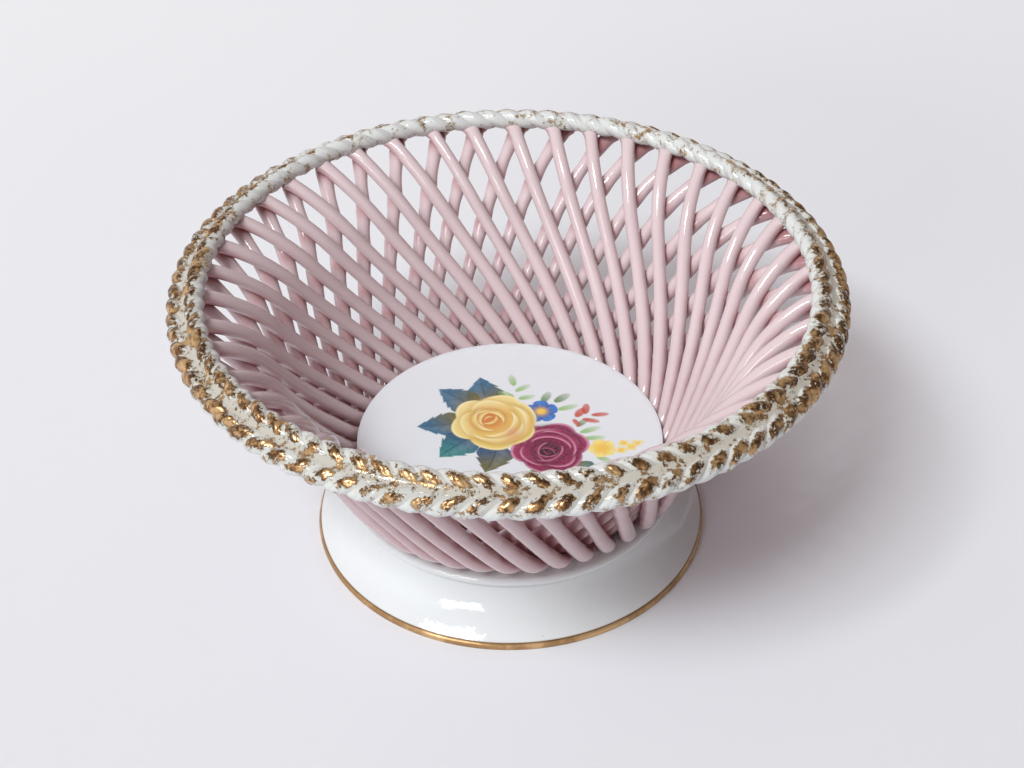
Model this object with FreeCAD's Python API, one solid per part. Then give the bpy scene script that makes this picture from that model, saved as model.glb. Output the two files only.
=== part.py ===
"""Footed openwork porcelain bowl.

Two layers of clay rods, each a ring of slanted rods, cross over one another to
make an open wall. Their feet are held between a painted floor disc and a hollow
flared pedestal, and their heads butt under two twisted clay ropes that form the rim.
Millimetres and degrees, +Z up, origin in the middle of the resting plane.
"""
import FreeCAD, Part
import math
import os

V = FreeCAD.Vector

# Rim of two twisted ropes, side by side
rim_radius = 105.0
rope_radius = 3.35
rope_gap = 0.1
rope_pair_tilt = 30.5
outer_rope_height = 93.1
rope_turns = 43
rope_steps_per_turn = 5
strand_gap = 0.16
strand_width_share = 0.78

# Rods of the open wall
rods_per_layer = 42
rods_per_node = 2
rod_radius = 2.25
rod_sides = 5
layer_gap = 0.5
seat_gap = 0.1
wall_lean_angle = 26.6
flare_depth = 18.1
rod_head_drop = 1.8
toe_radius = 8.0
flare_span_count = 2
cone_span_count = 2
toe_span_count = 2

# How far round the bowl a rod travels from its head to its foot, in degrees
inner_sweep_angle = -39.4
inner_head_angle = 2.9
inner_steady_share = 0.45
inner_curve_power = 2.15
outer_sweep_angle = 34.5
outer_head_angle = 1.1
outer_steady_share = 0.74
outer_curve_power = 5

# Painted floor disc, and the clay core that the rods' feet butt against
floor_radius = 50.45
floor_top_height = 33.2
floor_thickness = 2.5
floor_edge_chamfer = 0.35
floor_edge_gap = 0.3
core_gap = 0.2
seat_span_count = 2

# Hollow flared pedestal
foot_base_radius = 64.3
foot_edge_height = 2.7
foot_edge_inset = 0.7
foot_heel_inset = 1.9
foot_rest_width = 3.6
foot_waist_radius = 53.0
foot_waist_hollow = 1.5
foot_bead_depth = 1.9
foot_bead_height = 2.9
foot_plate_thickness = 4.0
foot_wall_thickness = 4.2
foot_inner_chamfer = 5.0
foot_flare_span_count = 3
foot_bead_span_count = 2

# Corners of a faceted solid that lie closer than this are one corner
corner_tolerance = 0.02

# Places worked out from the sizes above
lean = math.radians(wall_lean_angle)
tilt = math.radians(rope_pair_tilt)
rope_spacing = 2 * rope_radius + rope_gap
outer_rope_ring = rim_radius - rope_radius
inner_rope_ring = outer_rope_ring - rope_spacing * math.cos(tilt)
inner_rope_height = outer_rope_height + rope_spacing * math.sin(tilt)
flare_start_height = outer_rope_height - flare_depth
rod_corner = rod_radius * math.sqrt(2 * math.pi / rod_sides / math.sin(2 * math.pi / rod_sides))
rod_flat = rod_corner * math.cos(math.pi / rod_sides)
layer_spacing = 2 * rod_flat + layer_gap
toe_chord = toe_radius * math.cos((math.pi / 2 - lean) / toe_span_count / 2)
floor_seat = toe_chord - rod_corner - seat_gap
toe_centre_height = floor_top_height - floor_thickness + floor_seat
foot_top_height = toe_centre_height - toe_radius - layer_spacing - rod_corner - seat_gap


def wall_radius(height):
    """Radius of the inner layer's centreline on its straight cone."""
    at_floor = floor_radius + floor_edge_gap + rod_corner / math.cos(lean)
    return at_floor + (height - floor_top_height) * math.tan(lean)


toe_end_height = toe_centre_height - toe_radius * math.sin(lean)
toe_centre_radius = wall_radius(toe_end_height) - toe_radius * math.cos(lean)


def polar(radius, angle, height):
    return V(radius * math.cos(angle), radius * math.sin(angle), height)


def skin(rings, closed, hollow_sides=(), turning=0):
    """Solid between rings of as many points each, joined by triangles.

    Each four-sided patch is split along the diagonal that bulges it outwards. Sides
    named in hollow_sides are split the other way, which draws them in.
    """
    sides = len(rings[0])
    points = [point for ring in rings for point in ring]
    facets = []
    spans = len(rings) if closed else len(rings) - 1
    for span in range(spans):
        here = span * sides
        there = (span + 1) % len(rings) * sides
        for k in range(sides):
            a, b = here + k, here + (k + 1) % sides
            c, d = there + k, there + (k + 1) % sides
            if (turning > 0) == (k in hollow_sides):
                facets += [(a, d, b), (a, c, d)]
            else:
                facets += [(a, c, b), (b, c, d)]
    if not closed:
        last = len(points) - sides
        for k in range(1, sides - 1):
            facets.append((0, k, k + 1))
            facets.append((last, last + k + 1, last + k))
    shell = Part.Shape()
    shell.makeShapeFromMesh((points, facets), corner_tolerance)
    solid = Part.makeSolid(shell)
    if solid.Volume < 0:
        solid.reverse()
    return solid


def turned(outline):
    """Solid of revolution about Z of a closed outline of (radius, height) points."""
    corners = [V(radius, 0, height) for radius, height in outline + outline[:1]]
    face = Part.Face(Part.makePolygon(corners))
    return face.revolve(V(0, 0, 0), V(0, 0, 1), 360)


def bowed(start, end, bow, spans):
    """Points after start, up to end, on an arc that bows to the right of its chord.

    With a bow below zero it bows to the left. Half the arc's angle is 2 * atan(2 bow / chord).
    """
    run, rise = end[0] - start[0], end[1] - start[1]
    chord = math.hypot(run, rise)
    radius = (chord ** 2 / 4 + bow ** 2) / (2 * bow)
    half = 2 * math.atan(2 * bow / chord)
    points = []
    for step in range(1, spans + 1):
        turn = half * (2 * step / spans - 1)
        along = chord / 2 + radius * math.sin(turn)
        aside = radius * math.cos(turn) - radius + bow
        points.append((start[0] + (run * along + rise * aside) / chord,
                       start[1] + (rise * along - run * aside) / chord))
    return points


def layer_profile(offset, ring, height):
    """Stations (radius, height, lean) of a layer's centreline, from head to foot.

    The head follows the flare, the arc that leaves the straight cone at the flare's
    start and would pass just under the middle of the rope of this ring and height. The
    foot follows the toe, an arc about a centre inside the wall.
    """
    out = (math.cos(lean), -math.sin(lean))
    top = (wall_radius(flare_start_height) + offset * out[0], flare_start_height + offset * out[1])
    run, rise = ring - top[0], height - rod_head_drop - top[1]
    flare = (run ** 2 + rise ** 2) / (2 * (run * out[0] + rise * out[1]))
    centre = (top[0] + flare * out[0], top[1] + flare * out[1])
    run, rise = ring - centre[0], height - centre[1]
    reach = math.copysign((rope_radius + seat_gap) / math.hypot(run, rise), flare)
    head = math.atan2(flare * rise, -flare * run) - math.asin(reach)
    toe = toe_radius + offset
    low = (toe_centre_radius + toe * math.cos(lean), toe_centre_height - toe * math.sin(lean))
    stations = []
    for step in range(flare_span_count):
        angle = head + (lean - head) * step / flare_span_count
        stations.append((centre[0] - flare * math.cos(angle), centre[1] + flare * math.sin(angle), angle))
    for step in range(cone_span_count):
        share = step / cone_span_count
        radius = top[0] + (low[0] - top[0]) * share
        stations.append((radius, top[1] + (low[1] - top[1]) * share, lean))
    for step in range(toe_span_count + 1):
        angle = lean + (math.pi / 2 - lean) * step / toe_span_count
        radius = toe_centre_radius + toe * math.cos(angle)
        stations.append((radius, toe_centre_height - toe * math.sin(angle), angle))
    return stations


def rod(stations, facing, head_angle, sweep, steady_share, power):
    """One rod. Its section has as much area as a round one, and a flat towards the other layer.

    The angle round the bowl is sweep * (steady * s + (1 - steady) * s ** power), with s
    the share of the profile travelled from the head. Each ring lies square to the
    profile, as the rod's ends do, and is as much wider as the rod slants there.
    """
    steps = [math.hypot(b[0] - a[0], b[1] - a[1]) for a, b in zip(stations, stations[1:])]
    rings = []
    for k, (radius, height, slope) in enumerate(stations):
        s = sum(steps[:k]) / sum(steps)
        curve = steady_share * s + (1 - steady_share) * s ** power
        rate = steady_share + (1 - steady_share) * power * s ** (power - 1)
        angle = math.radians(head_angle + sweep * curve)
        centre = polar(radius, angle, height)
        outward = polar(math.cos(slope), angle, -math.sin(slope))
        slant = radius * math.radians(sweep) * rate / sum(steps)
        side = V(-math.sin(angle), math.cos(angle), 0) * math.hypot(1, slant)
        ring = []
        for corner in range(rod_sides):
            turn = math.pi * (2 * corner + 1) / rod_sides
            flatwards = outward * (facing * math.cos(turn))
            ring.append(centre + (flatwards + side * math.sin(turn)) * rod_corner)
        rings.append(ring)
    return skin(rings, False)


def rod_layer(name, stations, facing, head_angle, sweep, steady_share, power):
    """Writes one layer, with neighbouring rods sharing a node."""
    for first in range(0, rods_per_layer, rods_per_node):
        rods = []
        for k in range(first, min(first + rods_per_node, rods_per_layer)):
            angle = head_angle + 360.0 * k / rods_per_layer
            rods.append(rod(stations, facing, angle, sweep, steady_share, power))
        write(Part.makeCompound(rods), "%s_rods_%02d" % (name, first // rods_per_node + 1))


def rope_strand(ring, height, twist, start):
    """One strand of a rope ring, flat where it lies against its twin.

    Its three-cornered section turns about the rope's axis as it goes round the bowl. At
    the start the crest has turned by the angle start from straight up.
    """
    half_width = rope_radius * strand_width_share
    section = [(-half_width, strand_gap / 2), (half_width, strand_gap / 2), (0.0, rope_radius)]
    count = rope_turns * rope_steps_per_turn
    rings = []
    for step in range(count):
        angle = 2 * math.pi * step / count
        turn = start + twist * 2 * math.pi * step / rope_steps_per_turn
        points = []
        for x, y in section:
            across = x * math.cos(turn) - y * math.sin(turn)
            up = x * math.sin(turn) + y * math.cos(turn)
            points.append(polar(ring + across, angle, height + up))
        rings.append(points)
    return skin(rings, True, (0,), twist)


def floor_disc():
    """Flat disc whose underside curves up along the rods that it lies on."""
    lip_height = floor_top_height - floor_edge_chamfer
    lip_angle = math.asin((toe_centre_height - lip_height) / floor_seat)
    outline = [(0, floor_top_height)]
    outline.append((floor_radius - floor_edge_chamfer, floor_top_height))
    for step in range(seat_span_count + 1):
        angle = lip_angle + (math.pi / 2 - lip_angle) * step / seat_span_count
        radius = toe_centre_radius + floor_seat * math.cos(angle)
        outline.append((radius, toe_centre_height - floor_seat * math.sin(angle)))
    outline.append((0, toe_centre_height - floor_seat))
    return turned(outline)


def core_disc():
    """Clay disc between the pedestal and the floor, inside the ring of rods' feet."""
    low = foot_top_height + seat_gap
    high = toe_centre_height - floor_seat - seat_gap
    radius = toe_centre_radius - core_gap
    return turned([(0, low), (radius, low), (radius, high), (0, high)])


def pedestal():
    """Hollow flared foot, closed by a plate, with a bead round its top."""
    waist = (foot_waist_radius, foot_top_height - foot_bead_height)
    bead_top = (foot_waist_radius, foot_top_height)
    edge = (foot_base_radius - foot_edge_inset, foot_edge_height)
    nose = (foot_base_radius, foot_edge_height / 2)
    heel = (foot_base_radius - foot_heel_inset, 0)
    rest_in = (heel[0] - foot_rest_width, 0)
    ceiling = foot_top_height - foot_plate_thickness
    shoulder = (foot_waist_radius - foot_wall_thickness, ceiling - foot_inner_chamfer)
    outline = [(0, foot_top_height), bead_top]
    outline += bowed(bead_top, waist, -foot_bead_depth, foot_bead_span_count)
    outline += bowed(waist, edge, foot_waist_hollow, foot_flare_span_count)
    outline += [nose, heel, rest_in, shoulder]
    outline += [(shoulder[0] - foot_inner_chamfer, ceiling), (0, ceiling)]
    return turned(outline)


def write(shape, name):
    if not shape.isValid():
        print("not valid:", name)
    shape.exportStep("parts/%s.step" % name)


os.makedirs("parts", exist_ok=True)
write(pedestal(), "pedestal_foot")
write(core_disc(), "core_disc")
write(floor_disc(), "floor_disc")
inner_profile = layer_profile(0.0, inner_rope_ring, inner_rope_height)
outer_profile = layer_profile(layer_spacing, outer_rope_ring, outer_rope_height)
rod_layer("inner", inner_profile, 1,
          inner_head_angle, inner_sweep_angle, inner_steady_share, inner_curve_power)
rod_layer("outer", outer_profile, -1,
          outer_head_angle, outer_sweep_angle, outer_steady_share, outer_curve_power)
for letter, turn in (("a", 0.0), ("b", math.pi)):
    inner_start = turn - tilt - math.pi / 2
    outer_start = turn - tilt + math.pi / 2
    write(rope_strand(inner_rope_ring, inner_rope_height, -1, inner_start), "inner_rope_strand_" + letter)
    write(rope_strand(outer_rope_ring, outer_rope_height, 1, outer_start), "outer_rope_strand_" + letter)
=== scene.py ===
import math

import bpy
import numpy as np
from mathutils import Matrix, Vector


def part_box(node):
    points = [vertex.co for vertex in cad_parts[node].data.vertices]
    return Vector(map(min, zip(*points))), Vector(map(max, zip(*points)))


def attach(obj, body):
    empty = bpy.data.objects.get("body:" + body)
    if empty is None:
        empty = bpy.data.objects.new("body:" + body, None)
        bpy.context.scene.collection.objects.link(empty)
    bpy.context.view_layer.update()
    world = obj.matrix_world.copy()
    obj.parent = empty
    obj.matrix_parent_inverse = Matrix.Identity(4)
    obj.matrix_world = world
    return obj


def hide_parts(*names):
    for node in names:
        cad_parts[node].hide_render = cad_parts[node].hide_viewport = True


# Looks of the footed openwork porcelain bowl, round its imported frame. Sizes are in millimetres and
# angles in degrees until MM and radians take them into the frame. A heading below says what each
# group of sizes or functions is for. A share is of the size it goes with.

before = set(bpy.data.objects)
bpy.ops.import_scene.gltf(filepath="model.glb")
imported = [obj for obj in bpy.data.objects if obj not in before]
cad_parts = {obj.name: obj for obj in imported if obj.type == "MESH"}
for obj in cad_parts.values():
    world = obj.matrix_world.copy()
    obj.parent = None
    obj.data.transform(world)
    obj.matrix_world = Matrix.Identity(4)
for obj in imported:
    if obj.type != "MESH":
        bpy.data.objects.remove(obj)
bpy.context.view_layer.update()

MM = 0.001
TURN = 2 * math.pi

# Wall sizes, the same as in the part's source
WALL_LEAN = math.radians(26.6)
FLARE_DEPTH = 18.1
ROD_HEAD_DROP = 1.8
RODS_PER_LAYER = 42
RODS_PER_NODE = 2
ROD_RADIUS = 2.25
ROD_SIDES = 5
TOE_RADIUS = 8.0
TOE_CENTRE_HEIGHT = 35.71
FLOOR_SEAT_RADIUS = 50.45
FLOOR_EDGE_GAP = 0.3
ROPE_TILT = math.radians(30.5)
ROPE_TURNS = 43
ROPE_SEAT = 3.45

# From the middle to a corner of a straight-sided bar as large in section as a round rod
ROD_CORNER = ROD_RADIUS * math.sqrt(TURN / (ROD_SIDES * math.sin(TURN / ROD_SIDES)))

# The two layers: offset from the inner layer, sweep, angle of the first head, share of the sweep
# that grows evenly, power of the rest, half width at the head and at the foot, half thickness,
# how much deeper its outside's pink is, in part painted shade, and how far glaze webs it to the other layer
LAYERS = {
    "inner": dict(offset=0.0, sweep=-39.4, head=2.9, steady=0.45, power=2.15,
                  top_width=2.2, low_width=2.6, thick=2.3, deep=0.3, web=0.0),
    "outer": dict(offset=4.5, sweep=34.5, head=1.1, steady=0.74, power=5.0,
                  top_width=2.2, low_width=2.85, thick=2.35, deep=0.32, web=1.1),
}

# Rods: heads that sink and spread in the rope, feet that are rounded, and the hand's unevenness
HEAD_SINK = 2.3
HEAD_SINK_LEAST = 0.4
HEAD_THIN = 0.3
HEAD_SPREAD = 0.9
HEAD_SPREAD_FADE = 1.7
FOOT_ROUND = 2.3
FOOT_ROUND_TURN = 1.4
FOOT_ROUND_ROWS = 6
WIDENS_FROM_SHARE = 0.45
ROD_ROW_LENGTH = 1.5
ROD_COLS = 20
ROD_WANDER = math.radians(0.3)
ROD_LIFT = 0.075
ROD_UNEVEN = 0.03
ROD_RIPPLE = 0.025
ROD_RIPPLE_LENGTH = 7.0
STEEPEST_SLOPE = 1.2

# Pink glaze that pools, deepened further as painted shade, and webs of it at the crossings: how far they
# reach, and how deep they are
POOL_AND_SHADE_REACH = 2.8
POOL_AND_SHADE_HEAD_FADE = 3.5
POOL_AND_SHADE_AT_CROSSING = 0.7
POOL_AND_SHADE_AT_FOOT = 0.38
POOL_AND_SHADE_AT_HEAD = 0.7
WEB_REACH = 3.1
WEB_THICK_SHARE = 0.35
WEB_FADE_SHARES = (0.35, 0.7)

# Rope strands
ROPE_ROWS_PER_TURN = 22
ROPE_COLS = 25
GROOVE_DEPTH_SHARE = 0.23
GROOVE_POWER = 1.5
LOBE_UNEVEN = 0.04
PLIES = 3
PLY_DEPTH_SHARE = 0.05
PLY_POWER = 0.8
OUTER_ROPE_TALL_SHARE = 0.14
STRAND_CLOSE_TURN = 0.015
STRAND_HEART = 0.02
STRAND_HEART_SHARE = 0.6

# Glaze in the gutter between the ropes: across and up from the middle between their axes
GUTTER_OUTLINE = [(-2.1, 1.95), (-1.4, 2.15), (-0.7, 2.03), (0.0, 1.97), (0.7, 2.03), (1.4, 2.15),
                  (2.1, 1.95), (1.0, 1.0), (0.0, 0.4), (-1.0, 1.0)]
GUTTER_COLS = 600
GUTTER_GILT = 0.29

# Gold brushed on the ropes, as directions about a rope's axis: 0 outwards, 90 up. How far its
# front and back reach are sines of the direction about the bowl. Where it starts on a strand's
# crest, at the back and in front, and where it is full are cosines of the direction from the crest.
GILT_MIDDLE = 50.0
GILT_HALF_WIDTH = 38.0
GILT_BACK_TURN = 14.0
GILT_BACK_NARROWING = 10.0
GILT_FRONT = (0.45, 0.9)
GILT_BACK = (0.2, 0.8)
GILT_FADE = 30.0
GILT_SIDE_GAIN = 16.0
GILT_UNEVEN = 26.0
GILT_COVER = 0.86
GILT_COVER_UNEVEN = 0.25
GILT_CREST_START = (-1.5, 0.25)
GILT_CREST_FULL = 0.95
GILT_BETWEEN_PLIES = 0.82
GILT_PLY_GAIN = 0.25
WASH_ON_ROPES = 0.3
WASH_IN_GUTTER = 0.55
WASH_FADE = 25.0

# Foot: its outline, how closely its rows lie, the heights between which the unglazed rest fades,
# and the gold line's two edges, each with how far it fades to both sides
FOOT_GLAZE = 0.35
FOOT_EDGE_HEIGHT = 2.6
FOOT_EDGE_INSET = 0.8
FOOT_SIDE_HEIGHT = 1.56
FOOT_REST_WIDTH = 5.2
FOOT_WAIST_RADIUS = 53.0
FOOT_WAIST_HOLLOW = 1.5
FOOT_BEAD_DEPTH = 1.9
FOOT_BEAD_HEIGHT = 2.9
FOOT_PLATE = 4.0
FOOT_WALL = 4.2
FOOT_CHAMFER = 5.0
FOOT_SOFTNESS = 0.45
FOOT_ROW_LENGTH = 1.6
FOOT_ROW_BEND = math.radians(6)
FOOT_BEAD_ROWS = 12
FOOT_FLARE_ROWS = 30
FOOT_COLS = 240
BARE_HEIGHTS = (0.05, 0.35)
GOLD_LINE_LOW = (0.25, 0.15)
GOLD_LINE_HIGH = (2.55, 0.45)
GOLD_LINE_INSETS = (3.5, 2.0)

# Lathe outlines start and end this far from the axis
AXIS_RADIUS = 1.0

# Floor: fine rows under the painting, then its lip, as how far in from the edge, and how far
# below the top or above the underside
PAINT_START = 0.3
PAINT_END = 38.0
PAINT_STEP = 0.29
PLAIN_START = 38.2
PLAIN_END_INSET = 2.0
PLAIN_ROWS = 9
FLOOR_COLS = 600
LIP_TOP = [(1.8, 0.0), (0.0, 0.0), (0.5, 1.0)]
LIP_UNDER = [(2.0, 0.5), (4.2, 0.0)]
LIP_SOFTNESS = 0.25
LIP_ROW_LENGTH = 12.0
LIP_ROW_BEND = math.radians(16)
PAINTED_DEPTH = 0.2

# Camera, in millimetres and degrees
CAMERA_PLACE = (0.9, -456.6, 417.0)
CAMERA_FORWARD = (0.0, 0.7833, -0.6216)
CAMERA_ROLL = -0.65
CAMERA_LENS = 64.0

# Lamps and table, in metres. Each lamp has its direction, in degrees round from the front towards
# the left and up from the table, its width, height and watts. The world's values are levels of light.
LAMP_DISTANCE = 8.0
LAMPS = {
    "upper_pane": (41.5, 53.5, 3.3, 1.9, 496.0),
    "lower_pane": (30.0, 21.0, 3.1, 1.25, 116.0),
}
TABLE_HALF = 4.0
# Painted light: the table's colour lightens towards the left and the back, along a slanted way
TABLE_PAINTED_LIGHT = (-0.35, 0.8)
TABLE_PAINTED_LIGHT_SLANT = -0.4
WORLD_LOW = 0.01
WORLD_RISE = 0.49
WORLD_SIDE = 0.5
WORLD_COLOUR = (1.0, 0.82, 0.8, 1.0)
LAMP_COLOUR = (0.9, 0.985, 1.0)
BACKDROP_COLOUR = (0.985, 0.985, 1.0, 1.0)
SKY_HEIGHTS = (0.25, 0.6)
SKY_LEVEL = 0.35
DARK_SIDE_REACH = 0.8
DARK_SIDE = 0.3


def srgb(red, green, blue):
    """Linear colour of an ordinary screen colour, each channel 0 to 255."""
    channels = np.array([red, green, blue]) / 255
    linear = np.where(channels < 0.04045, channels / 12.92, ((channels + 0.055) / 1.055) ** 2.4)
    return tuple(float(c) for c in linear) + (1.0,)


def smooth(value, low, high):
    """0 below low, 1 above high, and an S-shaped rise between them."""
    share = np.clip((value - low) / (high - low), 0, 1)
    return share * share * (3 - 2 * share)


def smooth_about(value, middle, reach):
    """The same rise, from reach below the middle to reach above it."""
    return smooth(value, middle - reach, middle + reach)


# Meshes from grids of points
def point_list(values, looped):
    """The values of a grid's points in one list, then those of the middle points of open ends."""
    each = (-1,) + values.shape[3:]
    listed = values.reshape(each)
    if looped:
        return listed
    return np.concatenate([listed, values[:, [0, -1]].mean(2).reshape(each)])


def skin_mesh(name, grid, looped=False, **marks):
    """Mesh of one or more skins, from points in millimetres as an array (skins, rows, cols, 3).

    Columns close round. A looped skin's last row joins its first; any other is closed at each
    end by triangles to the end row's middle point. Each mark is an attribute of the points,
    one number or a colour of three for each.
    """
    skins, rows, cols = grid.shape[:3]
    base = np.arange(skins)[:, None, None] * rows * cols
    row = np.arange(rows if looped else rows - 1)[None, :, None]
    col = np.arange(cols)[None, None, :]
    ahead = (row + 1) % rows
    beside = (col + 1) % cols
    corners = (row * cols + col, ahead * cols + col, ahead * cols + beside, row * cols + beside)
    quads = np.stack(np.broadcast_arrays(*[base + corner for corner in corners]), -1).reshape(-1, 4)
    faces = quads.tolist()
    if not looped:
        first = base[:, 0] + col[0]
        first_next = base[:, 0] + beside[0]
        last_row = (rows - 1) * cols
        tips = skins * rows * cols + np.arange(2 * skins).reshape(skins, 2)
        top = np.stack(np.broadcast_arrays(tips[:, :1], first, first_next), -1)
        bottom = np.stack(np.broadcast_arrays(tips[:, 1:], first_next + last_row, first + last_row), -1)
        faces += top.reshape(-1, 3).tolist() + bottom.reshape(-1, 3).tolist()
    mesh = bpy.data.meshes.new(name)
    mesh.from_pydata((point_list(grid, looped) * MM).tolist(), [], faces)
    for mark, values in marks.items():
        values = point_list(values, looped)
        if values.ndim == 2:
            layer = mesh.attributes.new(mark, "FLOAT_COLOR", "POINT")
            colours = np.concatenate([values, np.ones((len(values), 1))], 1)
            layer.data.foreach_set("color", colours.astype(np.float32).ravel())
        else:
            layer = mesh.attributes.new(mark, "FLOAT", "POINT")
            layer.data.foreach_set("value", values.astype(np.float32).ravel())
    mesh.polygons.foreach_set("use_smooth", np.ones(len(mesh.polygons), bool))
    mesh.update()
    return mesh


def put(data):
    """New object in the scene for a mesh, lamp or camera, with its name."""
    made = bpy.data.objects.new(data.name, data)
    bpy.context.scene.collection.objects.link(made)
    return made


def piece(mesh, material, nodes):
    """Object that shows a mesh, rides on the bowl and stands for CAD nodes, where there are any."""
    made = put(mesh)
    mesh.materials.append(material)
    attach(made, "root")
    if nodes:
        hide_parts(*nodes)


def soft_outline(corners, softness, row_length, row_bend):
    """Outline through (radius, height) corners, rounded as glaze rounds a clay edge.

    The polyline is cut finely and averaged along its length by a bell curve of width
    softness. Its rows are then laid where length / row_length + turning / row_bend grows by one.
    """
    fine_step = 0.1
    corners = np.array(corners, float)
    along = np.concatenate([[0], np.cumsum(np.hypot(*np.diff(corners, axis=0).T))])
    fine = np.linspace(0, along[-1], int(along[-1] / fine_step))
    reach = int(3 * softness / fine_step)
    bell = np.exp(-((np.arange(-reach, reach + 1) * fine_step / softness) ** 2) / 2)
    line = []
    for k in (0, 1):
        padded = np.pad(np.interp(fine, along, corners[:, k]), reach, mode="reflect", reflect_type="odd")
        line.append(np.convolve(padded, bell / bell.sum(), "valid"))
    line = np.stack(line, 1)
    steps = np.diff(line, axis=0)
    heading = np.unwrap(np.arctan2(steps[:, 1], steps[:, 0]))
    growth = np.hypot(*steps.T) / row_length + np.abs(np.diff(heading, prepend=heading[0])) / row_bend
    total = np.concatenate([[0], np.cumsum(growth)])
    picked = np.linspace(0, total[-1], int(total[-1]) + 2)
    return np.stack([np.interp(picked, total, line[:, k]) for k in (0, 1)], 1)


def about_axis(radius, height, angle):
    """Points at a radius from Z and a height, angle radians round from +X."""
    return np.stack(np.broadcast_arrays(radius * np.cos(angle), radius * np.sin(angle), height), -1)


def lathe(outline, cols):
    """Points (1, rows, cols, 3) of an outline of (radius, height) turned about Z."""
    angle = np.linspace(0, TURN, cols, endpoint=False)[None, :]
    return about_axis(outline[:, :1], outline[:, 1:], angle)[None]


def bow(start, end, rise_aside, count):
    """Points after start, up to end, on an arc that stands rise_aside to the right of its chord.

    Twice the arctangent of 2 * rise_aside / chord is half the arc's angle.
    """
    start = np.array(start)
    chord = np.array(end) - start
    length = np.hypot(*chord)
    half = 2 * math.atan(2 * rise_aside / length)
    radius = length / 2 / math.sin(half)
    turn = half * np.linspace(-1, 1, count + 1)[1:]
    along = length / 2 + radius * np.sin(turn)
    aside = radius * (np.cos(turn) - math.cos(half))
    right = np.array([chord[1], -chord[0]]) / length
    return start + along[:, None] * chord / length + aside[:, None] * right


# Wall rods
def wall_radius(height):
    """Radius of the inner layer's centreline on its straight cone."""
    at_floor = FLOOR_SEAT_RADIUS + FLOOR_EDGE_GAP + ROD_CORNER / math.cos(WALL_LEAN)
    return at_floor + (height - FLOOR_TOP) * math.tan(WALL_LEAN)


def layer_line(offset, ring, height):
    """Radius, height, slope and share of the way down a layer's centreline.

    From inside the rope down: an arc about a centre outside the wall, the straight cone,
    and the toe's arc about a centre inside it. The slope is measured from the vertical.
    The share is below zero for the part sunk in the rope.
    """
    out = np.array([math.cos(WALL_LEAN), -math.sin(WALL_LEAN)])
    flare_start = OUTER_ROPE["height"] - FLARE_DEPTH
    top = np.array([wall_radius(flare_start), flare_start]) + offset * out
    run, climb = ring - top[0], height - ROD_HEAD_DROP - top[1]
    flare = (run ** 2 + climb ** 2) / (2 * (run * out[0] + climb * out[1]))
    centre = top + flare * out
    run, climb = ring - centre[0], height - centre[1]
    head = math.atan2(climb, -run) - math.asin(ROPE_SEAT / math.hypot(run, climb))
    toe_end_height = TOE_CENTRE_HEIGHT - TOE_RADIUS * math.sin(WALL_LEAN)
    toe_centre_radius = wall_radius(toe_end_height) - TOE_RADIUS * math.cos(WALL_LEAN)
    toe_centre = np.array([toe_centre_radius, TOE_CENTRE_HEIGHT])
    toe = TOE_RADIUS + offset
    low = toe_centre + toe * out
    flare_length = flare * (head - WALL_LEAN)
    cone_length = np.hypot(*(low - top))
    length = flare_length + cone_length + toe * (math.pi / 2 - WALL_LEAN)
    plain = np.linspace(0, length - FOOT_ROUND, int(length / ROD_ROW_LENGTH))
    cap_turn = np.linspace(0, FOOT_ROUND_TURN, FOOT_ROUND_ROWS + 1)[1:]
    cap = length - FOOT_ROUND + FOOT_ROUND * np.sin(cap_turn)
    way = np.concatenate([[-HEAD_SINK, -HEAD_SINK / 2], plain, cap])
    fade = np.sqrt(1 - np.clip((way - length + FOOT_ROUND) / FOOT_ROUND, 0, 1) ** 2)
    flare_angle = head - way / flare
    cone = np.clip((way - flare_length) / cone_length, 0, 1)[:, None]
    toe_angle = WALL_LEAN + (way - flare_length - cone_length) / toe
    slope = np.where(way < flare_length, flare_angle, np.maximum(toe_angle, WALL_LEAN))
    on_flare = centre + flare * np.stack([-np.cos(flare_angle), np.sin(flare_angle)], 1)
    on_toe = toe_centre + toe * np.stack([np.cos(slope), -np.sin(slope)], 1)
    place = np.where((way < flare_length)[:, None], on_flare, top + (low - top) * cone)
    place = np.where((way > flare_length + cone_length)[:, None], on_toe, place)
    return dict(radius=place[:, 0], height=place[:, 1], slope=slope, share=way / length, way=way, fade=fade)


def sweep_angle(layer, share):
    """Angle in radians that a rod of the layer has gone round the bowl at a share of its length."""
    curve = layer["steady"] * share + (1 - layer["steady"]) * np.maximum(share, 0) ** layer["power"]
    return np.radians(layer["head"] + layer["sweep"] * curve)


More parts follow.
